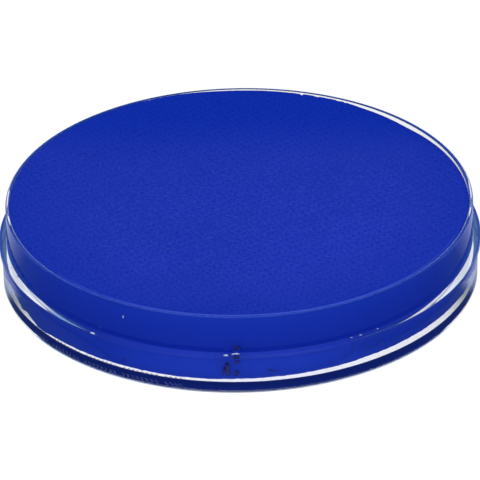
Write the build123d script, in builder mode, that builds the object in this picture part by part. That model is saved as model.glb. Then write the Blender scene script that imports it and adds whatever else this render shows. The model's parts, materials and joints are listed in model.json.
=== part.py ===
from build123d import *

import math
import os

# Shallow clear jar of pressed water-based paint, shown open. Millimetres.
# Origin: centre of the foot, on the surface that the jar stands on. +Z: the jar's axis, upwards.

# Driving dimensions
lip_diameter = 75.0
jar_height = 12.6
lid_neck_diameter = 72.6
ledge_height = 6.6
lip_thickness = 0.55
body_diameter = 74.2
foot_diameter = 74.0
rim_wall = 0.6
wall_draft = 0.5
floor_level = 1.4
foot_ring_width = 0.6
foot_ring_height = 0.15
label_thickness = 0.1
label_clearance = 0.4
cake_below_rim = 0.45
corner_gap_height = 0.7
corner_gap_depth = 1.6

# Edge radii, as the mould leaves them
rim_radius = 0.2
lip_radius = 0.15
ledge_root_radius = 0.15
foot_radius = 0.25
cake_edge_radius = 0.2

# Worked-out sizes
lip_r = lip_diameter / 2
neck_r = lid_neck_diameter / 2
body_r = body_diameter / 2
foot_r = foot_diameter / 2
foot_inner_r = foot_r - foot_ring_width
lip_underside = ledge_height - lip_thickness
lip_blend = lip_underside - (lip_r - body_r)
rim_inner_r = neck_r - rim_wall
cake_top = jar_height - cake_below_rim
label_r = foot_inner_r - label_clearance


def wall_inner_r(height):
    """Radius of the jar's inner wall at a height, narrowing towards the floor by the mould's draft."""
    return rim_inner_r - (jar_height - height) * math.tan(math.radians(wall_draft))


def rings_at(radius, height):
    """Selects the circular edges of one radius at one height."""
    return lambda edge: (
        edge.geom_type == GeomType.CIRCLE
        and abs(edge.radius - radius) < 0.01
        and abs(edge.center().Z - height) < 0.01
    )


os.makedirs("parts", exist_ok=True)


# Cup: floor, body, overhanging lip with the ledge that stops the lid, and the thin neck inside the lid
with BuildPart() as cup:
    with BuildSketch(Plane.XZ):
        with BuildLine():
            Polyline(
                (0, foot_ring_height),
                (foot_inner_r, foot_ring_height),
                (foot_inner_r, 0),
                (foot_r, 0),
                (body_r, lip_blend),
                (lip_r, lip_underside),
                (lip_r, ledge_height),
                (neck_r, ledge_height),
                (neck_r, jar_height),
                (rim_inner_r, jar_height),
                (wall_inner_r(floor_level), floor_level),
                (0, floor_level),
                close=True,
            )
        make_face()
    revolve(axis=Axis.Z)
    rim_edges = cup.edges().filter_by(rings_at(neck_r, jar_height))
    rim_edges += cup.edges().filter_by(rings_at(rim_inner_r, jar_height))
    fillet(rim_edges, rim_radius)
    lip_edges = cup.edges().filter_by(rings_at(lip_r, ledge_height))
    lip_edges += cup.edges().filter_by(rings_at(lip_r, lip_underside))
    fillet(lip_edges, lip_radius)
    fillet(cup.edges().filter_by(rings_at(neck_r, ledge_height)), ledge_root_radius)
    fillet(cup.edges().filter_by(rings_at(foot_r, 0)), foot_radius)

cup.part.label = "cup"
export_step(cup.part, "parts/cup.step")


# Paint cake: one round block that fills the cup, drawn away from the corner between wall and floor
with BuildPart() as paint_cake:
    with BuildSketch(Plane.XZ):
        gap_top = floor_level + corner_gap_height
        gap_top_r = wall_inner_r(gap_top)
        with BuildLine():
            underside = Line((0, floor_level), (gap_top_r - corner_gap_depth, floor_level))
            corner = EllipticalCenterArc(
                (gap_top_r - corner_gap_depth, gap_top),
                corner_gap_depth,
                corner_gap_height,
                start_angle=-90,
                arc_size=90,
            )
            side = Line(corner @ 1, (wall_inner_r(cake_top), cake_top))
            Polyline(side @ 1, (0, cake_top), underside @ 0)
        make_face()
    revolve(axis=Axis.Z)
    cake_rim = paint_cake.edges().filter_by(rings_at(wall_inner_r(cake_top), cake_top))
    fillet(cake_rim, cake_edge_radius)

paint_cake.part.label = "paint_cake"
export_step(paint_cake.part, "parts/paint_cake.step")


# Base label: a clear printed film on the underside, in the shallow recess inside the foot ring
with BuildPart() as base_label:
    with BuildSketch(Plane.XY.offset(foot_ring_height - label_thickness)):
        Circle(label_r)
    extrude(amount=label_thickness)

base_label.part.label = "base_label"
export_step(base_label.part, "parts/base_label.step")
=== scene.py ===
import json
import math
import random

import bpy
from mathutils import Matrix, Vector, noise


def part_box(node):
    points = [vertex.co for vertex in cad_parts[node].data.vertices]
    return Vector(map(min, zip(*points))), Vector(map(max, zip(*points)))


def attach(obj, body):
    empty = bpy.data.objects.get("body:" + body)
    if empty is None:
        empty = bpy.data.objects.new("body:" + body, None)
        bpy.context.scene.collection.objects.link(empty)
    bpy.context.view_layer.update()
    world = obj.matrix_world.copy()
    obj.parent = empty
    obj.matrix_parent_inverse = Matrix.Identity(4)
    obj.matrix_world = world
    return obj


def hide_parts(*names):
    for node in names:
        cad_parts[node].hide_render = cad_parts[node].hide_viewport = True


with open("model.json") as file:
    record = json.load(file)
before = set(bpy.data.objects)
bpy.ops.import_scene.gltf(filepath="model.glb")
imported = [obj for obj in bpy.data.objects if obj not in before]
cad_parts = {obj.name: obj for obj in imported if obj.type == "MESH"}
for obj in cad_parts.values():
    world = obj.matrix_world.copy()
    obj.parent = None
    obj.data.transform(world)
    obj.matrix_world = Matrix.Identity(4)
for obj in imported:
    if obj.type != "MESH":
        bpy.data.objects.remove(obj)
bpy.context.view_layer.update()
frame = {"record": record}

MM = 0.001

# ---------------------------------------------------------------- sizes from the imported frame

cup_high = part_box("cup")[1]
cake_low, cake_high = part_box("paint_cake")
label_low, label_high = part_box("base_label")
mounts = {mount["name"]: mount for mount in frame["record"]["mounts"]}

LIP_R = cup_high.x
JAR_H = cup_high.z
NECK_R = mounts["lid_seat"]["dims"]["r_mm"] * MM
LEDGE_Z = mounts["ledge"]["pos_m"][2]
FLOOR_Z = cake_low.z
CAKE_TOP = cake_high.z
RECESS_Z = label_high.z
FILM_Z = label_low.z
LABEL_R = label_high.x

# Small steps between them, as the CAD has them
LABEL_CLEARANCE = 0.4 * MM
FOOT_RING = 0.6 * MM
LIP_THICK = 0.55 * MM
LIP_OVERHANG = 0.4 * MM
RIM_WALL = 0.6 * MM
DRAFT = math.tan(math.radians(0.5))
RECESS_R = LABEL_R + LABEL_CLEARANCE
FOOT_R = RECESS_R + FOOT_RING
BODY_R = LIP_R - LIP_OVERHANG

# Edge radii of the moulding
CRISP = 0.015 * MM
INSIDE_ROUND = 0.05 * MM
UNDER_LIP_ROUND = 0.1 * MM
LIP_ROUND = 0.15 * MM
RIM_ROUND = 0.2 * MM
FOOT_ROUND = 0.2 * MM


def inner_wall_r(z):
    """Radius of the cup's inner wall at height z."""
    return NECK_R - RIM_WALL - (JAR_H - z) * DRAFT


def outer_wall_r(z):
    """Radius of the cup's outer wall at height z, away from the lip's edge."""
    if z > LEDGE_Z:
        return NECK_R
    return FOOT_R + (BODY_R - FOOT_R) * z / (LEDGE_Z - LIP_THICK)


# ---------------------------------------------------------------- shape helpers

def smooth(t):
    """Smoothstep of t, held between 0 and 1."""
    t = min(max(t, 0.0), 1.0)
    return t * t * (3 - 2 * t)


def around(bearing, stations):
    """Smooth value round the jar, from (bearing, value) stations between -180 and 180 degrees."""
    for (b0, v0), (b1, v1) in zip(stations, stations[1:]):
        if bearing <= b1:
            return v0 + (v1 - v0) * smooth((bearing - b0) / (b1 - b0))
    return stations[-1][1]


def within(bearing, start, end, rise, fall):
    """1 between two bearings and 0 outside them, with a smooth rise and fall of so many degrees inside."""
    return smooth((bearing - start) / rise) * smooth((end - bearing) / fall)


def bearing_of(angle):
    """Degrees round the jar from the front, which faces -Y. Left is negative."""
    return (math.degrees(angle) + 90 + 180) % 360 - 180


def at(radius, angle, z):
    return Vector((radius * math.cos(angle), radius * math.sin(angle), z))


def new_piece(name, verts, faces, material, smooth_faces=True):
    """A mesh object that rides on the jar's one body."""
    mesh = bpy.data.meshes.new(name)
    mesh.from_pydata([tuple(v) for v in verts], [], faces)
    mesh.validate()
    mesh.materials.append(material)
    for polygon in mesh.polygons:
        polygon.use_smooth = smooth_faces
    piece = bpy.data.objects.new(name, mesh)
    bpy.context.scene.collection.objects.link(piece)
    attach(piece, "root")
    return piece


def rounded(corners, steps=6, support=0.03 * MM):
    """Turns (r, z, radius) corners into a fine outline.

    A point just off each end of an arc keeps the shading of the flats flat.
    """
    outline = []
    count = len(corners)
    for i, (r, z, radius) in enumerate(corners):
        here = Vector((r, z))
        if radius == 0:
            outline.append(here)
            continue
        to_last = (Vector(corners[i - 1][:2]) - here).normalized()
        to_next = (Vector(corners[(i + 1) % count][:2]) - here).normalized()
        half = to_last.angle(to_next) / 2
        reach = radius / math.tan(half)
        centre = here + (to_last + to_next).normalized() * radius / math.sin(half)
        start = here + to_last * reach
        end = here + to_next * reach
        outline.append(start + to_last * support)
        for k in range(steps + 1):
            on_chord = start.lerp(end, k / steps)
            outline.append(centre + (on_chord - centre).normalized() * radius)
        outline.append(end + to_next * support)
    return outline


def revolved(outline, segments):
    """Vertices and faces of a closed solid of revolution, whose outline starts and ends on the axis."""
    rings = outline[1:-1]
    verts = [Vector((0, 0, outline[0].y)), Vector((0, 0, outline[-1].y))]
    for s in range(segments):
        verts += [at(p.x, math.tau * s / segments, p.y) for p in rings]
    faces = []
    n = len(rings)
    for s in range(segments):
        here = 2 + s * n
        there = 2 + (s + 1) % segments * n
        faces.append((0, there, here))
        faces += [(here + k, there + k, there + k + 1, here + k + 1) for k in range(n - 1)]
        faces.append((here + n - 1, there + n - 1, 1))
    return verts, faces


# ---------------------------------------------------------------- material nodes

class Nodes:
    """A short way to write a node tree. Lengths in it are in metres, in the object's own space."""

    space = "Object"

    def __init__(self, name):
        self.material = bpy.data.materials.new(name)
        self.material.use_nodes = True
        self.tree = self.material.node_tree
        self.shader = self.tree.nodes["Principled BSDF"]

    def add(self, kind, **settings):
        node = self.tree.nodes.new(kind)
        for key, value in settings.items():
            setattr(node, key, value)
        return node

    def link(self, source, target):
        self.tree.links.new(source, target)

    def feed(self, socket, value):
        """Links a socket to another one, or sets it to a value."""
        if isinstance(value, bpy.types.NodeSocket):
            self.link(value, socket)
        else:
            socket.default_value = value

    def set(self, **values):
        """Feeds the shader's sockets by name."""
        for key, value in values.items():
            self.feed(self.shader.inputs[key.replace("_", " ")], value)

    def math(self, operation, a, b=0.0):
        node = self.add("ShaderNodeMath", operation=operation)
        self.feed(node.inputs[0], a)
        self.feed(node.inputs[1], b)
        return node.outputs[0]

    def place(self):
        return self.add("ShaderNodeTexCoord").outputs[self.space]

    def split(self, place=None):
        """The x, y and z of a place, or of the shaded point."""
        node = self.add("ShaderNodeSeparateXYZ")
        self.link(place or self.place(), node.inputs[0])
        return node.outputs

    def dot(self, direction):
        """The place's coordinate along a direction, times the direction's length."""
        node = self.add("ShaderNodeVectorMath", operation="DOT_PRODUCT")
        self.link(self.place(), node.inputs[0])
        node.inputs[1].default_value = direction
        return node.outputs["Value"]

    def from_axis(self, x, y):
        """Distance from the jar's axis."""
        squares = self.math("ADD", self.math("MULTIPLY", x, x), self.math("MULTIPLY", y, y))
        return self.math("SQRT", squares)

    def noise(self, scale, detail=3.0, stretch=(1, 1, 1)):
        mapping = self.add("ShaderNodeMapping")
        self.link(self.place(), mapping.inputs["Vector"])
        mapping.inputs["Scale"].default_value = stretch
        node = self.add("ShaderNodeTexNoise")
        self.link(mapping.outputs[0], node.inputs["Vector"])
        node.inputs["Scale"].default_value = scale
        node.inputs["Detail"].default_value = detail
        return node.outputs["Fac"]

    def noise_round_the_jar(self, along, across):
        """Noise drawn out round the jar's axis, from its size along and across the pull, in metres."""
        x, y, z = self.split()
        turn = self.math("ARCTAN2", x, self.math("MULTIPLY", y, -1.0))
        place = self.add("ShaderNodeCombineXYZ")
        self.link(self.math("MULTIPLY", turn, LIP_R / along), place.inputs[0])
        self.link(self.math("DIVIDE", self.from_axis(x, y), across), place.inputs[1])
        self.link(self.math("DIVIDE", z, across), place.inputs[2])
        node = self.add("ShaderNodeTexNoise")
        self.link(place.outputs[0], node.inputs["Vector"])
        node.inputs["Scale"].default_value = 1.0
        return node.outputs["Fac"]

    def attribute(self, name):
        return self.add("ShaderNodeAttribute", attribute_name=name).outputs["Fac"]

    def ramp(self, value, low, high, to_low=0.0, to_high=1.0):
        """Goes smoothly from to_low to to_high, as the value goes from low to high."""
        node = self.add("ShaderNodeMapRange", interpolation_type="SMOOTHSTEP")
        self.feed(node.inputs["Value"], value)
        node.inputs["From Min"].default_value = low
        node.inputs["From Max"].default_value = high
        node.inputs["To Min"].default_value = to_low
        node.inputs["To Max"].default_value = to_high
        return node.outputs["Result"]

    def near_ledge(self, z, outer_low, low, high, outer_high):
        """1 from low to high and 0 past the outer two, all heights in mm above the ledge."""
        rise = self.ramp(z, LEDGE_Z + outer_low * MM, LEDGE_Z + low * MM)
        fall = self.ramp(z, LEDGE_Z + high * MM, LEDGE_Z + outer_high * MM, 1.0, 0.0)
        return self.math("MULTIPLY", rise, fall)

    def blend(self, factor, a, b):
        node = self.add("ShaderNodeMix", data_type="RGBA")
        self.feed(node.inputs[0], factor)
        self.feed(node.inputs[6], a)
        self.feed(node.inputs[7], b)
        return node.outputs[2]

    def bump(self, height, distance, strength=1.0):
        node = self.add("ShaderNodeBump")
        self.link(height, node.inputs["Height"])
        node.inputs["Distance"].default_value = distance
        node.inputs["Strength"].default_value = strength
        self.link(node.outputs["Normal"], self.shader.inputs["Normal"])


# ---------------------------------------------------------------- clear plastic

POLYSTYRENE_IOR = 1.59
PLASTIC_TINT = (0.975, 0.985, 0.99, 1)
# Painted highlight on the ledge: what shows through it is tinted pale blue, and a faint milky bloom runs in
# streaks round the jar.
LEDGE_HIGHLIGHT_TINT = (0.8, 0.9, 0.99, 1)
LEDGE_HIGHLIGHT_BLOOM = 0.014


def clear_plastic():
    """Clear injection-moulded polystyrene: handling scuffs, a worn foot, and a painted highlight on the
    ledge, a faint pale bloom in streaks.
    """
    m = Nodes("clear_plastic")
    scuffs = m.math("MULTIPLY", m.ramp(m.noise(900, 6, stretch=(1, 1, 5)), 0.56, 0.78), 0.06)
    rough = m.math("ADD", scuffs, m.ramp(m.noise(120), 0.35, 0.7, 0.008, 0.03))
    z = m.split()[2]
    foot_wear = m.ramp(z, 0.1 * MM, 0.5 * MM, 0.08, 0.0)
    # Painted highlight: the ledge turns a little milky and pale blue, in streaks round the jar.
    highlight_streaks = m.ramp(m.noise_round_the_jar(9 * MM, 0.6 * MM), 0.35, 0.65, 0.3, 1.0)
    on_ledge = m.near_ledge(z, -0.6, -0.05, 0.02, 0.2)
    highlight_bloom = m.math("MULTIPLY", highlight_streaks, m.math("MULTIPLY", on_ledge, LEDGE_HIGHLIGHT_BLOOM))
    m.set(Base_Color=m.blend(on_ledge, PLASTIC_TINT, LEDGE_HIGHLIGHT_TINT), IOR=POLYSTYRENE_IOR)
    m.set(Transmission_Weight=m.math("SUBTRACT", 1.0, highlight_bloom), Roughness=m.math("ADD", rough, foot_wear))
    m.bump(m.noise(260, 4), 0.004 * MM, 0.5)
    return m.material


# ---------------------------------------------------------------- blue paint

# Crossed threads of the cloth that the paint was pressed through: waves per millimetre over the top.
WEAVE = (Vector((-0.434, 0.598, 0)), Vector((0.845, 0.453, 0)))

# The paint on the open top: its clouds and pale flecks, painted shade towards its edge and back and in the
# cloth's marks and pits, and a painted highlight on its margin.
CLOUD_LOW = (0.0055, 0.026, 0.41, 1)
CLOUD_HIGH = (0.0085, 0.031, 0.46, 1)
FLECK = (0.027, 0.062, 0.47, 1)
SHADED = (0.0018, 0.0238, 0.38, 1)
THREAD_MARK_SHADE = (0.001, 0.011, 0.32, 1)
PIT_SHADE = (0.0005, 0.006, 0.27, 1)
MARGIN_HIGHLIGHT = (0.045, 0.095, 0.62, 1)
# The paint through the wall, in painted light and shade: lighter all round, lighter still at the front under
# the lip, darker beside the ledge, and dark slate at the rim's back.
WALL_LIT_BLUE = (0.0085, 0.053, 0.72, 1)
FRONT_LIT_BLUE = (0.024, 0.08, 0.87, 1)
LEDGE_SHADE_BLUE = (0.003, 0.034, 0.64, 1)
RIM_BACK_SHADE = (0.035, 0.075, 0.25, 1)


def thread_marks(m):
    """The dots that the cloth's crossed threads left, stronger in some patches than in others."""
    drift = m.math("MULTIPLY", m.noise(320), 4.5)
    waves = []
    for weave in WEAVE:
        turns = m.math("MULTIPLY", m.dot(tuple(weave / MM)), math.tau)
        waves.append(m.math("COSINE", m.math("ADD", turns, drift)))
    dots = m.ramp(m.math("ADD", waves[0], waves[1]), 0.7, 1.9)
    return m.math("MULTIPLY", dots, m.ramp(m.noise(70), 0.25, 0.5, 0.3, 1.0))


def pinholes(m):
    """A few deep pits among many shallow ones."""
    deep = m.ramp(m.noise(1500, 2), 0.66, 0.74)
    return m.math("MAXIMUM", deep, m.ramp(m.noise(1900), 0.52, 0.7, 0.0, 0.5))


def light_and_shade_through_wall(m, y, z):
    """The paint's tone where it is seen through the clear wall, with painted light and shade."""
    in_front = m.ramp(y, -36 * MM, -28 * MM, 1.0, 0.0)
    body = m.ramp(z, LEDGE_Z - 1.0 * MM, LEDGE_Z - 0.2 * MM, 1.0, 0.2)
    tone = m.blend(m.math("MULTIPLY", in_front, body), WALL_LIT_BLUE, FRONT_LIT_BLUE)
    tone = m.blend(m.near_ledge(z, -0.6, -0.1, 0.2, 0.9), tone, LEDGE_SHADE_BLUE)
    rim = m.ramp(z, JAR_H - 1.8 * MM, JAR_H - 1.1 * MM)
    return m.blend(m.math("MULTIPLY", m.ramp(y, 0.0, 14 * MM), rim), tone, RIM_BACK_SHADE)


def blue_paint():
    """Pressed water-based paint: matt, with the cloth's marks, pits and soft clouds of tone, and painted
    light and shade on the top and through the wall.
    """
    m = Nodes("blue_paint")
    marks = thread_marks(m)
    pits = pinholes(m)
    grain = m.noise(2600, 4)
    x, y, z = m.split()
    # Painted shade: the top darkens towards its edge and its back, with less sheen there.
    near_edge = m.ramp(m.from_axis(x, y), 20 * MM, 36 * MM, 0.0, 0.6)
    shade = m.math("MAXIMUM", near_edge, m.ramp(y, -2 * MM, 32 * MM))

    tone = m.blend(m.ramp(m.noise(45, 4), 0.3, 0.7), CLOUD_LOW, CLOUD_HIGH)
    tone = m.blend(m.ramp(grain, 0.5, 0.68, 0.0, 0.5), tone, FLECK)
    tone = m.blend(shade, tone, SHADED)
    # Painted shade in the dents of the cloth's marks and in the pits.
    tone = m.blend(m.math("MULTIPLY", marks, 0.5), tone, THREAD_MARK_SHADE)
    tone = m.blend(m.math("MULTIPLY", pits, 0.7), tone, PIT_SHADE)
    # Painted highlight along the cake's margin.
    tone = m.blend(m.attribute("margin_highlight"), tone, MARGIN_HIGHLIGHT)
    tone = m.blend(m.attribute("behind_wall"), tone, light_and_shade_through_wall(m, y, z))

    sheen = m.math("MULTIPLY", m.ramp(grain, 0.35, 0.6, 0.04, 0.1), m.ramp(shade, 0.4, 1.0, 1.0, 0.3))
    m.set(Base_Color=tone, Specular_IOR_Level=sheen)
    m.set(Roughness=m.ramp(grain, 0.3, 0.7, 0.78, 0.92))
    relief = m.math("SUBTRACT", m.math("MULTIPLY", grain, 0.6), m.math("ADD", marks, pits))
    m.bump(relief, 0.02 * MM, 0.6)
    return m.material


# ---------------------------------------------------------------- label, ink, smudges and painted glints

FILM_ALPHA = 0.1
INK_ALPHA = 0.38


def label_film():
    """Clear label film, faintly milky."""
    m = Nodes("label_film")
    cloud = m.noise(200)
    m.set(Base_Color=(0.9, 0.92, 0.95, 1), Roughness=m.ramp(cloud, 0.3, 0.7, 0.3, 0.5))
    m.set(Alpha=FILM_ALPHA)
    m.bump(cloud, 0.005 * MM)
    return m.material


def label_ink():
    """Thin, pale printing ink on the film, a little worn."""
    m = Nodes("label_ink")
    worn = m.noise(2500, 4)
    m.set(Base_Color=m.blend(m.ramp(worn, 0.35, 0.65), (0.3, 0.36, 0.8, 1), (0.45, 0.52, 0.95, 1)))
    m.set(Roughness=m.ramp(worn, 0.3, 0.7, 0.5, 0.8), Alpha=INK_ALPHA)
    m.bump(worn, 0.004 * MM)
    return m.material


def dried_paint():
    """Dried drips and crumbs of the same paint, nearly black, and thin enough in places to see through."""
    m = Nodes("dried_paint")
    crumb = m.noise(3000, 4)
    m.set(Base_Color=m.blend(m.ramp(crumb, 0.3, 0.7), (0.008, 0.012, 0.12, 1), (0.02, 0.026, 0.24, 1)))
    m.set(Roughness=m.ramp(crumb, 0.3, 0.7, 0.5, 0.9), Specular_IOR_Level=0.2)
    m.set(Alpha=m.ramp(m.noise(5000), 0.35, 0.6, 0.35, 1.0))
    m.bump(crumb, 0.02 * MM)
    return m.material


def glint_bruise_plastic():
    """The same plastic, bruised and gone white, which makes painted glints."""
    m = Nodes("glint_bruise_plastic")
    tear = m.noise(4000, 4)
    m.set(Base_Color=(0.75, 0.85, 0.98, 1), IOR=POLYSTYRENE_IOR, Transmission_Weight=0.1)
    m.set(Roughness=m.ramp(tear, 0.3, 0.7, 0.35, 0.7))
    m.bump(tear, 0.02 * MM)
    return m.material


# ---------------------------------------------------------------- cup

CUP_SEGMENTS = 512


def make_cup(material):
    """The moulding's outline, from the middle of its underside round to the middle of its floor, revolved."""
    lip_low = LEDGE_Z - LIP_THICK
    outline = rounded([
        (0, RECESS_Z, 0),
        (RECESS_R, RECESS_Z, CRISP),
        (RECESS_R, 0, CRISP),
        (FOOT_R, 0, FOOT_ROUND),
        (BODY_R, lip_low - LIP_OVERHANG, UNDER_LIP_ROUND),
        (LIP_R, lip_low, LIP_ROUND),
        (LIP_R, LEDGE_Z, LIP_ROUND),
        (NECK_R, LEDGE_Z, INSIDE_ROUND),
        (NECK_R, JAR_H, RIM_ROUND),
        (NECK_R - RIM_WALL, JAR_H, RIM_ROUND),
        (inner_wall_r(FLOOR_Z), FLOOR_Z, INSIDE_ROUND),
        (0, FLOOR_Z, 0),
    ])
    verts, faces = revolved(outline, CUP_SEGMENTS)
    piece = new_piece("clear_cup", verts, faces, material)
    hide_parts("cup")


# ---------------------------------------------------------------- paint cake

# How far the cake's edge is under the rim, mm, by bearing from the front (left is negative).
EDGE_DROP = [
    (-180, 0.15), (-160, 0.03), (-115, 0.05), (-90, 0.2), (-35, 0.35), (0, 0.25), (25, 0.35), (55, 0.45),
    (88, 0.52), (115, 0.6), (130, 0.78), (145, 0.5), (151, 0.25), (157, 0.2), (180, 0.15),
]
# Height of the open corner between the wall and the cake, mm.
GAP_HEIGHT = [
    (-180, 0.5), (-110, 0.5), (-88, 0.9), (-83, 1.3), (-78, 1.1), (-75, 1.6), (-70, 1.4), (-67, 0.7),
    (-65, 1.2), (-61.5, 0.6), (-58.5, 0.06), (-56.5, 0.06), (-53, 0.35), (-47, 0.5), (-30, 0.6), (-8, 0.6),
    (0, 0.82), (12, 0.92), (22, 1.05), (33, 1.33), (47, 1.45), (64, 1.45), (72, 1.1), (80, 1.2),
    (95, 0.5), (180, 0.5),
]
# The paint has shrunk off the wall under this height, mm. Above it the paint wets the wall.
SHRUNK_UNDER = [
    (-180, 2.6), (-84, 2.6), (-74, 3.6), (-62, 5.0), (-47, 4.4), (-38, 3.6), (-31, 1.4), (20, 1.4),
    (27, 3.7), (45, 3.8), (57, 4.0), (66, 5.2), (75, 3.6), (84, 2.6), (180, 2.6),
]
# How plainly the smooth margin shows between the cloth's marks and the wall, 0 to 1: how far it stands proud,
# and how strong its painted highlight is.
MARGIN = [(-180, 0), (-58, 0), (-40, 0.5), (-20, 1), (35, 1), (62, 0.3), (78, 0), (180, 0)]
MARGIN_R = 34.85 * MM
MARGIN_STEP = 0.04 * MM

# A section of the cake's side is a run of points, numbered from 0 at the margin's inner edge.
# The margin's painted highlight by those numbers, and the numbers between which the tone turns to the wall's.
MARGIN_HIGHLIGHT_BY_POINT = {1: 1.0, 2: 1.0, 3: 0.3, 4: 0.3, 5: 0.3}
WALL_TONE_FROM, WALL_TONE_FULL = 4, 7

# The least height of the open corner and the least drop of the edge, mm.
LEAST_GAP = 0.06
LEAST_DROP = 0.01
# How far wet paint reaches into the plastic, so that no air is between them, and the air where it shrank.
WET = 0.02 * MM
SHRUNK = 0.05 * MM
EDGE_BEVEL = 0.15 * MM
# Squares along each side of the top's grid.
GRID = 250
# About the radius of the cake's edge, which sets the scale of what is ragged along it.
EDGE_R_MM = 35


def ragged(angle, size, seed, octaves=4):
    """Fractal noise from about -1 to 1 along the cake's edge, with features of about so many mm."""
    place = Vector((math.cos(angle), math.sin(angle), 0)) * (EDGE_R_MM / size)
    return noise.fractal(place + Vector((0, 0, seed)), 0.8, 2.1, octaves)


def on_disc(u, v):
    """Maps a square from -1 to 1 onto the unit disc, so that a square grid becomes an even round one."""
    if u == 0 and v == 0:
        return 0.0, 0.0
    if abs(u) > abs(v):
        radius = u
        angle = math.pi / 4 * v / u
    else:
        radius = v
        angle = math.pi / 2 - math.pi / 4 * u / v
    return radius * math.cos(angle), radius * math.sin(angle)


def grid_place(column, row):
    """Where a point of the square grid lies on the unit disc, and the angle round the axis there."""
    x, y = on_disc(2 * column / GRID - 1, 2 * row / GRID - 1)
    return x, y, math.atan2(y, x)


def grid_border():
    """The grid's outermost points, once round."""
    border = []
    for start, step in (((0, 0), (1, 0)), ((GRID, 0), (0, 1)), ((GRID, GRID), (-1, 0)), ((0, GRID), (0, -1))):
        border += [(start[0] + step[0] * i, start[1] + step[1] * i) for i in range(GRID)]
    return border


def imprint(x, y):
    """Depth of the cloth's imprint, 0 to 1, at a place on the cake's top."""
    place = Vector((x, y, 0)) / MM
    drift = noise.noise(place * 0.16) * 1.3
    waves = sum(math.cos(math.tau * weave.dot(place) + drift) for weave in WEAVE)
    return smooth((waves - 0.5) / 1.4)


def top_point(column, row):
    """A point inside the cake's top, which is uneven, carries the imprint, and meets the edge's height."""
    x, y, angle = grid_place(column, row)
    out = math.hypot(x, y)
    rim_z = JAR_H - around(bearing_of(angle), EDGE_DROP) * MM
    z = CAKE_TOP + (rim_z - CAKE_TOP) * smooth((out - 0.5) / 0.5)
    wave = 0.03 * noise.noise(Vector((x, y, 0)) * 3.0) + 0.012 * noise.noise(Vector((x, y, 5)) * 14.0)
    marked = wave - 0.014 * imprint(x * MARGIN_R, y * MARGIN_R)
    z += marked * MM * smooth((1 - out) * 30)
    return Vector((x * MARGIN_R, y * MARGIN_R, z))


def margin_section(bearing):
    """The smooth margin, which stands a little proud of the marked top: (r, z) points."""
    z = JAR_H - around(bearing, EDGE_DROP) * MM
    step = MARGIN_STEP * around(bearing, MARGIN)
    return [
        Vector((MARGIN_R, z)),
        Vector((MARGIN_R + 0.15 * MM, z + step)),
        Vector((MARGIN_R + 0.25 * MM, z + step)),
        Vector((MARGIN_R + 0.4 * MM, z + step / 2)),
    ]


def side_section(edge_z, chips, wet_from, gap_top):
    """The rounded top edge, the wet side and the shrunk side, down to the open corner: (r, z) points."""
    section = []
    bevel = min(EDGE_BEVEL, 0.6 * (JAR_H - edge_z))
    for k in range(4):
        turn = math.pi / 2 * k / 3
        r = inner_wall_r(edge_z) + WET - bevel * (1 - math.sin(turn)) - chips * 0.4 * MM
        section.append(Vector((r, edge_z - bevel * (1 - math.cos(turn)))))
    upper = edge_z - bevel
    for k in range(1, 9):
        z = upper + (wet_from - upper) * k / 8
        section.append(Vector((inner_wall_r(z) + WET, z)))
    shrunk_from = wet_from - 0.04 * MM
    for k in range(7):
        z = shrunk_from + (gap_top - shrunk_from) * k / 6
        section.append(Vector((inner_wall_r(z) - SHRUNK, z)))
    return section


def corner_section(gap_h):
    """The hollow face over the open corner, down to the cup's floor: (r, z) points."""
    section = []
    gap_top = FLOOR_Z + gap_h
    gap_d = 1.8 * gap_h + 0.4 * MM
    inner_r = inner_wall_r(gap_top) - SHRUNK - gap_d
    for k in range(1, 9):
        turn = math.pi / 2 * k / 8
        z = gap_top - (gap_h + WET) * math.sin(turn)
        section.append(Vector((inner_r + gap_d * math.cos(turn), z)))
    return section


def cake_section(angle):
    """The cake's side at one angle, from its margin down and in under the open corner: (r, z) points."""
    bearing = bearing_of(angle)
    chips = within(bearing, 148, 168, 5, 5) * max(0.0, ragged(angle, 0.8, 3.0)) * 0.4
    uneven = 0.03 * ragged(angle, 2.5, 1.0)
    edge_z = JAR_H - max(LEAST_DROP, around(bearing, EDGE_DROP) + uneven + chips) * MM
    notched = within(bearing, -92, -62, 8, 6)
    rough_edge = (0.08 + 0.15 * notched) * ragged(angle, 0.9, 7.0) + 0.09 * ragged(angle, 0.45, 9.0, 2)
    gap_h = max(LEAST_GAP, around(bearing, GAP_HEIGHT) + rough_edge) * MM
    gap_top = FLOOR_Z + gap_h
    shrunk_under = around(bearing, SHRUNK_UNDER) + 0.25 * ragged(angle, 1.5, 11.0)
    wet_from = max(shrunk_under * MM, gap_top + 0.1 * MM)
    side = side_section(edge_z, chips, wet_from, gap_top)
    return margin_section(bearing) + side + corner_section(gap_h)


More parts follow.
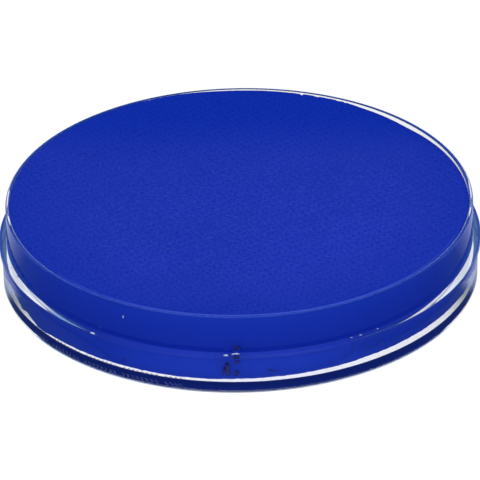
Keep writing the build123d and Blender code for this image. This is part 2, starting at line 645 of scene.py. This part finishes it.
def make_cake(material):
    """A round grid for the top, then rings of side points outside it, closed by a fan underneath."""
    border = grid_border()
    places = [grid_place(column, row) for column, row in border]
    sections = [cake_section(angle) for x, y, angle in places]

    def side_point(i, k):
        x, y, angle = places[i]
        r, z = sections[i][k]
        return Vector((x * r, y * r, z))

    verts = []
    on_border = {point: i for i, point in enumerate(border)}
    for row in range(GRID + 1):
        for column in range(GRID + 1):
            i = on_border.get((column, row))
            verts.append(top_point(column, row) if i is None else side_point(i, 0))
    faces = []
    width = GRID + 1
    for row in range(GRID):
        for column in range(GRID):
            here = row * width + column
            faces.append((here, here + 1, here + width + 1, here + width))

    behind_wall = [0.0] * len(verts)
    margin_highlight = [0.0] * len(verts)
    last_ring = [row * width + column for column, row in border]
    count = len(border)
    for k in range(1, len(sections[0])):
        ring = range(len(verts), len(verts) + count)
        verts += [side_point(i, k) for i in range(count)]
        behind_wall += [smooth((k - WALL_TONE_FROM) / (WALL_TONE_FULL - WALL_TONE_FROM))] * count
        # How strongly each point carries the margin's painted highlight.
        highlight_weight = MARGIN_HIGHLIGHT_BY_POINT.get(k, 0.0)
        margin_highlight += [highlight_weight * around(bearing_of(angle), MARGIN) for x, y, angle in places]
        for i in range(count):
            j = (i + 1) % count
            faces.append((last_ring[i], ring[i], ring[j], last_ring[j]))
        last_ring = ring
    centre = len(verts)
    verts.append(Vector((0, 0, FLOOR_Z - WET)))
    behind_wall.append(0.0)
    margin_highlight.append(0.0)
    faces += [(last_ring[i], centre, last_ring[(i + 1) % count]) for i in range(count)]

    piece = new_piece("cake", verts, faces, material)
    for name, values in (("behind_wall", behind_wall), ("margin_highlight", margin_highlight)):
        piece.data.attributes.new(name, "FLOAT", "POINT").data.foreach_set("value", values)
    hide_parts("paint_cake")


# ---------------------------------------------------------------- label and its print

LABEL_SEGMENTS = 256
LABEL_AIR = 0.012 * MM
LABEL_ROUND = 0.02 * MM
# Generic dashes in groups round the label's left front: bearings, then a dash's pitch, half width and lean.
PRINT_FROM, PRINT_TO = -60.0, -13.0
DASH_PITCH, DASH_HALF_WIDTH, DASH_LEAN = 1.25, 0.3, 0.5
DASH_LENGTH = 1.3 * MM
PRINT_INSET = 0.25 * MM
GROUP, SPACE_IN_GROUP = 9, 5
# The ink starts just under the cup's underside and wets into it.
INK_BELOW, INK_ABOVE = 0.008 * MM, 0.02 * MM
BOX_FACES = [(3, 2, 1, 0), (4, 5, 6, 7), (0, 1, 5, 4), (1, 2, 6, 5), (2, 3, 7, 6), (3, 0, 4, 7)]


def make_label(material):
    """The film, with a little air between it and the cup."""
    outline = rounded([
        (0, FILM_Z, 0),
        (LABEL_R, FILM_Z, LABEL_ROUND),
        (LABEL_R, RECESS_Z - LABEL_AIR, LABEL_ROUND),
        (0, RECESS_Z - LABEL_AIR, 0),
    ], steps=3, support=0.01 * MM)
    verts, faces = revolved(outline, LABEL_SEGMENTS)
    piece = new_piece("clear_label", verts, faces, material)
    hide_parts("base_label")


def make_print(material):
    """Leaning dashes inside the label's edge, shorter towards the side."""
    outer = LABEL_R - PRINT_INSET
    verts, faces = [], []
    for i in range(int((PRINT_TO - PRINT_FROM) / DASH_PITCH)):
        if i % GROUP == SPACE_IN_GROUP:
            continue
        bearing = PRINT_FROM + i * DASH_PITCH
        inner = outer - DASH_LENGTH * math.cos(math.radians(bearing))
        base = len(verts)
        for z in (RECESS_Z - INK_BELOW, RECESS_Z + INK_ABOVE):
            for radius, side in ((inner, -1), (inner, 1), (outer, 1), (outer, -1)):
                lean = DASH_LEAN if radius == outer else -DASH_LEAN
                shift = side * DASH_HALF_WIDTH + lean
                verts.append(at(radius, math.radians(bearing + shift - 90), z))
        faces += [tuple(base + k for k in face) for face in BOX_FACES]
    new_piece("label_print", verts, faces, material, smooth_faces=False)


# ---------------------------------------------------------------- smudges, specks and painted glints

# Dried paint on the outside of the wall: bearing, height, then how wide and how high, in degrees and mm.
WALL_SMUDGES = [
    (-1.6, 7.75, 0.5, 0.5), (-1.0, 7.3, 0.9, 0.6), (-1.3, 6.3, 1.1, 0.5), (-1.2, 5.45, 0.9, 0.6),
    (-3.5, 4.6, 0.8, 1.1), (-3.8, 3.8, 1.4, 1.2), (-1.4, 3.4, 0.8, 0.9), (6.5, 3.7, 0.8, 0.3),
    (7.6, 3.55, 0.8, 0.25), (21.2, 3.5, 0.5, 0.3), (26.8, 5.4, 0.22, 1.1), (29.8, 5.0, 0.2, 0.8),
    (34.4, 4.9, 0.25, 1.1), (-29.0, 3.4, 0.3, 0.9),
]
# Dried paint on the ledge: bearing, radius, then how wide and how deep.
LEDGE_SMUDGES = [
    (-70.2, 36.45, 0.5, 0.22), (-74.8, 36.7, 0.3, 0.2), (-76.4, 36.9, 0.25, 0.12), (-79.6, 37.0, 0.3, 0.12),
]
# Painted glints on the ledge, made as bruised, whitened plastic: bearing, radius, width, depth and how proud
# it stands.
LEDGE_GLINT_BRUISES = [
    (-3.7, 37.1, 0.8, 0.35, 0.1), (-1.6, 36.65, 1.25, 0.35, 0.1), (27.0, 36.45, 0.35, 0.2, 0.02),
    (29.4, 36.5, 0.5, 0.2, 0.02), (34.4, 36.4, 0.3, 0.2, 0.02), (-37.2, 37.3, 1.0, 0.3, 0.05),
]
# And one painted glint on the neck: bearing, height, width, height across and how proud.
NECK_GLINT_BRUISE = (-29.4, 10.45, 0.16, 0.4, 0.015)
SMUDGE_THICK = 0.012
SPECK_THICK = 0.01
SPECKS = 60
FLAKE_POINTS = 28


def flake(centre, across, up, width, height, thick, seed):
    """A thin closed flake with a ragged outline, on a surface that faces across x up: (verts, faces)."""
    outward = across.cross(up)
    lower, upper = [], []
    for i in range(FLAKE_POINTS):
        turn = math.tau * i / FLAKE_POINTS
        lobe = Vector((math.cos(turn) * 1.6, math.sin(turn) * 1.6, seed * 3.7))
        reach = 1 + 0.7 * noise.fractal(lobe, 0.7, 2.1, 4)
        arm = (across * width * math.cos(turn) + up * height * math.sin(turn)) * reach / 2
        lower.append(centre + arm - outward * thick)
        upper.append(centre + arm * 0.8 + outward * thick * 0.6)
    verts = [centre - outward * thick, centre + outward * thick] + lower + upper
    faces = []
    for i in range(FLAKE_POINTS):
        low, next_low = 2 + i, 2 + (i + 1) % FLAKE_POINTS
        high, next_high = low + FLAKE_POINTS, next_low + FLAKE_POINTS
        faces += [(0, next_low, low), (low, next_low, next_high, high), (1, high, next_high)]
    return verts, faces


def on_wall(bearing, z):
    """Centre and directions for a flake on the cup's outside."""
    angle = math.radians(bearing - 90)
    return at(outer_wall_r(z), angle, z), at(1, angle + math.pi / 2, 0), Vector((0, 0, 1))


def on_ledge(bearing, radius):
    """Centre and directions for a flake on the ledge's flat top."""
    angle = math.radians(bearing - 90)
    return at(radius, angle, LEDGE_Z), at(1, angle + math.pi / 2, 0), at(-1, angle, 0)


def make_flakes(name, spots, material):
    """One piece of many flakes, from (place, width, height, thickness) spots in mm."""
    verts, faces = [], []
    for seed, (place, width, height, thick) in enumerate(spots):
        more, corners = flake(*place, width * MM, height * MM, thick * MM, seed)
        faces += [tuple(len(verts) + k for k in corner) for corner in corners]
        verts += more
    new_piece(name, verts, faces, material)


def make_smudges(material):
    smudges = [(on_wall(b, z * MM), w, h, SMUDGE_THICK) for b, z, w, h in WALL_SMUDGES]
    smudges += [(on_ledge(b, r * MM), w, h, SMUDGE_THICK) for b, r, w, h in LEDGE_SMUDGES]
    rng = random.Random(11)
    for _ in range(SPECKS):
        bearing = rng.uniform(-180, 180)
        z = rng.choice((rng.uniform(0.8, 5.2), rng.uniform(6.9, 12.0)))
        size = 0.06 + 0.12 * rng.random() ** 2
        smudges.append((on_wall(bearing, z * MM), size, size * rng.uniform(0.6, 1.4), SPECK_THICK))
    make_flakes("paint_smudges", smudges, material)


# Whitened flakes of bruised plastic, which make painted glints on the ledge and the neck.
def make_glint_bruises(material):
    glint_bruises = [(on_ledge(b, r * MM), w, h, proud) for b, r, w, h, proud in LEDGE_GLINT_BRUISES]
    bearing, z, width, height, proud = NECK_GLINT_BRUISE
    glint_bruises.append((on_wall(bearing, z * MM), width, height, proud))
    make_flakes("glint_bruises", glint_bruises, material)


make_cup(clear_plastic())
make_cake(blue_paint())
make_label(label_film())
make_print(label_ink())
make_smudges(dried_paint())
make_glint_bruises(glint_bruise_plastic())


# ---------------------------------------------------------------- light, from the floor and the world

# Both glow, and differently for light that reached them by way of the paint, that was mirrored by the
# plastic, or that came straight through. What is mirrored is a dim room, which keeps the plastic clear.

# The floor is this far under the jar, so that the foot's underside has air on its outside.
UNDER_JAR = 0.02 * MM
FLOOR_HALF = 3.0
FLOOR_GLOW = (1.0, 1.0, 1.0, 1)
# The floor beside the jar, as the paint is lit by it.
FLOOR_FOR_PAINT = (0.62, 0.62, 0.62, 1)
# The floor as it is mirrored, by Y in mm, and close beside the jar behind its front.
BESIDE_JAR = [
    (-14, (0.025, 0.045, 0.05, 1)), (-2, (0.05, 0.1, 0.16, 1)),
    (8, (0.3, 0.36, 0.55, 1)), (14, (0.42, 0.48, 0.7, 1)),
]
CLOSE_BESIDE_JAR = (0.4, 0.46, 0.66, 1)
# What has been mirrored more than once.
MIRRORED_TWICE = (0.03, 0.08, 0.28, 1)
# Under the foot ring, by Y in mm: shaded at the very front, lit round the front corners, dim from there back.
UNDER_FOOT = [
    (-37, (0.06, 0.11, 0.25, 1)), (-33.5, (0.4, 0.55, 0.85, 1)), (-21, (0.32, 0.46, 0.72, 1)),
    (-18, (0.86, 0.81, 0.86, 1)), (-10, (0.86, 0.81, 0.86, 1)), (-6, (0.05, 0.09, 0.24, 1)),
]
# The same, as the plastic mirrors it.
UNDER_FOOT_MIRRORED = [
    (-32, (0.05, 0.11, 0.33, 1)), (-28, (0.13, 0.27, 0.56, 1)), (-21, (0.26, 0.42, 0.7, 1)),
    (-18, (0.86, 0.81, 0.86, 1)), (-10, (0.86, 0.81, 0.86, 1)), (-6, (0.05, 0.09, 0.24, 1)),
]
# Under the recess inside the ring: lit, less lit when mirrored or further back, as the paint is lit by it,
# and in shade at its front edge.
UNDER_RECESS = (1.42, 1.42, 1.52, 1)
DIMMER_RECESS = (1.0, 0.98, 1.0, 1)
UNDER_PAINT = (0.36, 0.45, 0.35, 1)
RECESS_SHADE = (0.01, 0.02, 0.11, 1)
# The mirrored room: overhead, behind the jar, and a band low behind it.
ROOM_TINT = (0.6, 0.85, 1.0, 1)
BACK_TINT = (0.16, 0.36, 0.72, 1)
BAND_TINT = (0.4, 0.45, 0.6, 1)
# For the paint, the world's white is this much brighter in front and behind, and dimmer to the sides.
MORE_FOR_PAINT = 0.25


class Studio(Nodes):
    """Nodes for the light sources. The kinds of light path are told apart by how the light has bounced."""

    space = "Generated"

    def __init__(self, tree):
        self.tree = tree
        path = self.add("ShaderNodeLightPath").outputs
        self.by_paint = self.math("GREATER_THAN", path["Diffuse Depth"], 0.5)
        mirrored = self.math("GREATER_THAN", path["Glossy Depth"], 0.5)
        self.by_gloss = self.math("MULTIPLY", mirrored, self.math("SUBTRACT", 1.0, self.by_paint))
        twice = self.math("GREATER_THAN", path["Glossy Depth"], 1.5)
        self.by_gloss_twice = self.math("MULTIPLY", twice, self.by_gloss)

    def tinted(self, tint, level):
        """A tint at a level."""
        node = self.add("ShaderNodeVectorMath", operation="SCALE")
        node.inputs[0].default_value = tint[:3]
        self.link(level, node.inputs["Scale"])
        return node.outputs[0]

    def sum(self, colours):
        total = colours[0]
        for colour in colours[1:]:
            node = self.add("ShaderNodeVectorMath", operation="ADD")
            self.link(total, node.inputs[0])
            self.link(colour, node.inputs[1])
            total = node.outputs[0]
        return total

    def stops(self, value, stations):
        """Colour by a length, from (length in mm, colour) stations."""
        low, high = stations[0][0], stations[-1][0]
        node = self.add("ShaderNodeValToRGB")
        ramp = node.color_ramp
        while len(ramp.elements) < len(stations):
            ramp.elements.new(0.5)
        for element, (place, colour) in zip(ramp.elements, stations):
            element.position = (place - low) / (high - low)
            element.color = colour
        scaled = self.math("DIVIDE", self.math("SUBTRACT", value, low * MM), (high - low) * MM)
        self.link(scaled, node.inputs[0])
        return node.outputs["Color"]


def open_floor(studio, x, y, out):
    """The floor's glow away from the jar."""
    far_behind = studio.ramp(y, 60 * MM, 160 * MM, 0.0, 0.9)
    mirrored = studio.sum([studio.tinted(ROOM_TINT, far_behind), studio.stops(y, BESIDE_JAR)])
    close = studio.ramp(out, 41 * MM, 43 * MM, 1.0, 0.0)
    close = studio.math("MULTIPLY", close, studio.ramp(y, -10 * MM, -5 * MM))
    mirrored = studio.blend(close, mirrored, CLOSE_BESIDE_JAR)
    beside = studio.ramp(studio.math("ABSOLUTE", x), 30 * MM, 80 * MM)
    glow = studio.blend(studio.math("MULTIPLY", beside, studio.by_paint), FLOOR_GLOW, FLOOR_FOR_PAINT)
    return studio.blend(studio.by_gloss, glow, mirrored)


def under_foot(studio, x, y):
    """The floor's glow under the foot ring. Mirrored, its stations lie further forward on the right."""
    further = studio.ramp(x, 10 * MM, 25 * MM, 0.0, 5 * MM)
    mirrored = studio.stops(studio.math("ADD", y, further), UNDER_FOOT_MIRRORED)
    return studio.blend(studio.by_gloss, studio.stops(y, UNDER_FOOT), mirrored)


def under_recess(studio, y):
    """The floor's glow under the recess."""
    dimmer = studio.math("MAXIMUM", studio.by_gloss, studio.ramp(y, -16 * MM, -10 * MM))
    lit = studio.blend(dimmer, UNDER_RECESS, DIMMER_RECESS)
    return studio.blend(studio.by_paint, lit, UNDER_PAINT)


def floor_glow(studio):
    """The floor's whole glow, from the open floor inwards."""
    place = studio.add("ShaderNodeNewGeometry").outputs["Position"]
    x, y = studio.split(place)[:2]
    length = studio.add("ShaderNodeVectorMath", operation="LENGTH")
    studio.link(place, length.inputs[0])
    out = length.outputs["Value"]
    lit_to = studio.ramp(y, -22 * MM, -18 * MM, LABEL_R, RECESS_R)
    glow = open_floor(studio, x, y, out)
    for radius, inside in (
        (FOOT_R, under_foot(studio, x, y)),
        (RECESS_R, RECESS_SHADE),
        (lit_to, under_recess(studio, y)),
    ):
        glow = studio.blend(studio.math("LESS_THAN", out, radius), glow, inside)
    return studio.blend(studio.by_gloss_twice, glow, MIRRORED_TWICE)


def make_floor():
    mesh = bpy.data.meshes.new("floor")
    corners = [(-1, -1), (1, -1), (1, 1), (-1, 1)]
    mesh.from_pydata([(x * FLOOR_HALF, y * FLOOR_HALF, -UNDER_JAR) for x, y in corners], [], [(0, 1, 2, 3)])
    m = Nodes("floor")
    m.set(Base_Color=(0.02, 0.02, 0.02, 1), Roughness=0.9, Specular_IOR_Level=0.0, Emission_Strength=1.0)
    m.set(Emission_Color=floor_glow(Studio(m.tree)))
    mesh.materials.append(m.material)
    floor = bpy.data.objects.new("floor", mesh)
    bpy.context.scene.collection.objects.link(floor)


def make_world():
    """White all round, dimmer to the sides for the paint, and the dim mirrored room."""
    world = bpy.data.worlds.new("studio")
    world.use_nodes = True
    background = world.node_tree.nodes["Background"]
    studio = Studio(world.node_tree)
    direction = studio.split()
    low = studio.ramp(direction[2], 0.1, 0.35, 1.0, 0.0)
    back = studio.ramp(direction[1], 0.1, 0.5)
    mirrored = studio.sum([
        studio.tinted(ROOM_TINT, studio.ramp(direction[2], 0.8, 0.92, 0.08, 0.3)),
        studio.tinted(BACK_TINT, back),
        studio.tinted(BAND_TINT, studio.math("MULTIPLY", low, back)),
    ])
    aside = studio.math("MULTIPLY", direction[0], direction[0])
    more = studio.math("MULTIPLY", studio.by_paint, studio.math("SUBTRACT", MORE_FOR_PAINT, aside))
    white = studio.add("ShaderNodeCombineColor")
    for channel in white.inputs[:3]:
        studio.link(studio.math("ADD", more, 1.0), channel)
    colour = studio.blend(studio.by_gloss, white.outputs[0], mirrored)
    studio.link(colour, background.inputs["Color"])
    bpy.context.scene.world = world


# ---------------------------------------------------------------- camera

CAMERA_DISTANCE = 0.9
CAMERA_ELEVATION = math.radians(30.2)
CAMERA_ROLL = math.radians(-1.08)
LENS = 431.8
SENSOR = 36
# The camera aims this far above and right of the frame's origin, across its view.
AIM_UP = 4.54 * MM
AIM_RIGHT = 0.015 * MM


def make_camera():
    lens_data = bpy.data.cameras.new("camera")
    lens_data.lens = LENS
    lens_data.sensor_width = SENSOR
    lens_data.clip_end = 20
    camera = bpy.data.objects.new("camera", lens_data)
    bpy.context.scene.collection.objects.link(camera)
    forward, upward = math.cos(CAMERA_ELEVATION), math.sin(CAMERA_ELEVATION)
    place = CAMERA_DISTANCE * Vector((0, -forward, upward))
    target = Vector((0, upward, forward)) * AIM_UP + Vector((1, 0, 0)) * AIM_RIGHT
    turn = (target - place).to_track_quat("-Z", "Y").to_matrix().to_4x4()
    camera.matrix_world = Matrix.Translation(place) @ turn @ Matrix.Rotation(CAMERA_ROLL, 4, "Z")
    bpy.context.scene.camera = camera


make_floor()
make_world()
make_camera()
bpy.context.scene.view_settings.view_transform = "Standard"
cycles = bpy.context.scene.cycles
cycles.max_bounces = 24
cycles.transmission_bounces = 24
cycles.glossy_bounces = 16
cycles.diffuse_bounces = 6
